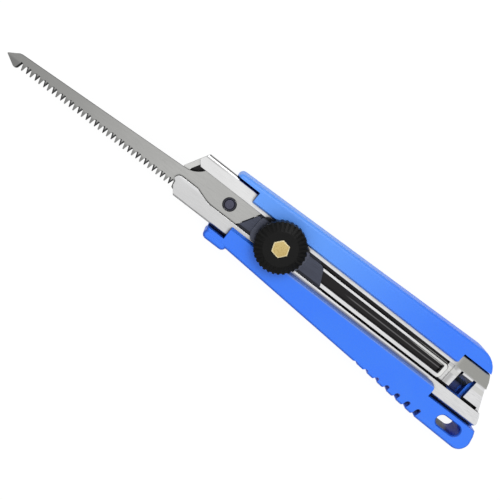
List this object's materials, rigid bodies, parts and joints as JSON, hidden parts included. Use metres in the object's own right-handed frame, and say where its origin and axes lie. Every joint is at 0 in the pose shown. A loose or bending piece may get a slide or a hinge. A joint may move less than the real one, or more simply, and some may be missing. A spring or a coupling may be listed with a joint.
{
  "type": "pull saw with sliding blade",
  "caption": "Flat moulded handle with a steel sleeve along its face, from which a narrow pointed saw blade slides out; a ribbed wheel on the face clamps the slider.",
  "frame": {"origin": "flat back of the handle, at the middle of the handle's length on the centre line of the rail", "axes": "+X along the blade to its tip, +Y towards the teeth, +Z out of the face that carries the wheel"},
  "size_m": [0.2232, 0.0375, 0.0173],
  "materials": {
    "handle_plastic": "satin blue moulding",
    "sleeve_steel": "drawn stainless sheet",
    "blade_steel": "ground tool steel",
    "slider_steel": "blackened steel",
    "pin_steel": "turned steel",
    "stud_steel": "plain steel",
    "washer_steel": "blackened steel",
    "wheel_plastic": "black moulding",
    "nut_brass": "machined brass"
  },
  "bodies": {
    "holder": {"handle": "handle_plastic", "sleeve": "sleeve_steel"},
    "carriage": {"slider": "slider_steel", "saw_blade": "blade_steel", "blade_pin": "pin_steel", "clamp_stud": "stud_steel", "washer": "washer_steel"},
    "wheel": {"lock_wheel": "wheel_plastic", "hex_nut": "nut_brass"}
  },
  "joints": [
    {"name": "slider_travel", "type": "slide", "parent": "holder", "child": "carriage", "axis": [1, 0, 0], "range_m": [-0.0725, 0]},
    {"name": "wheel_turn", "type": "hinge", "parent": "carriage", "child": "wheel", "pos_m": [0.04, 0, 0.0092], "axis": [0, 0, 1], "range_deg": [0, 360]}
  ]
}
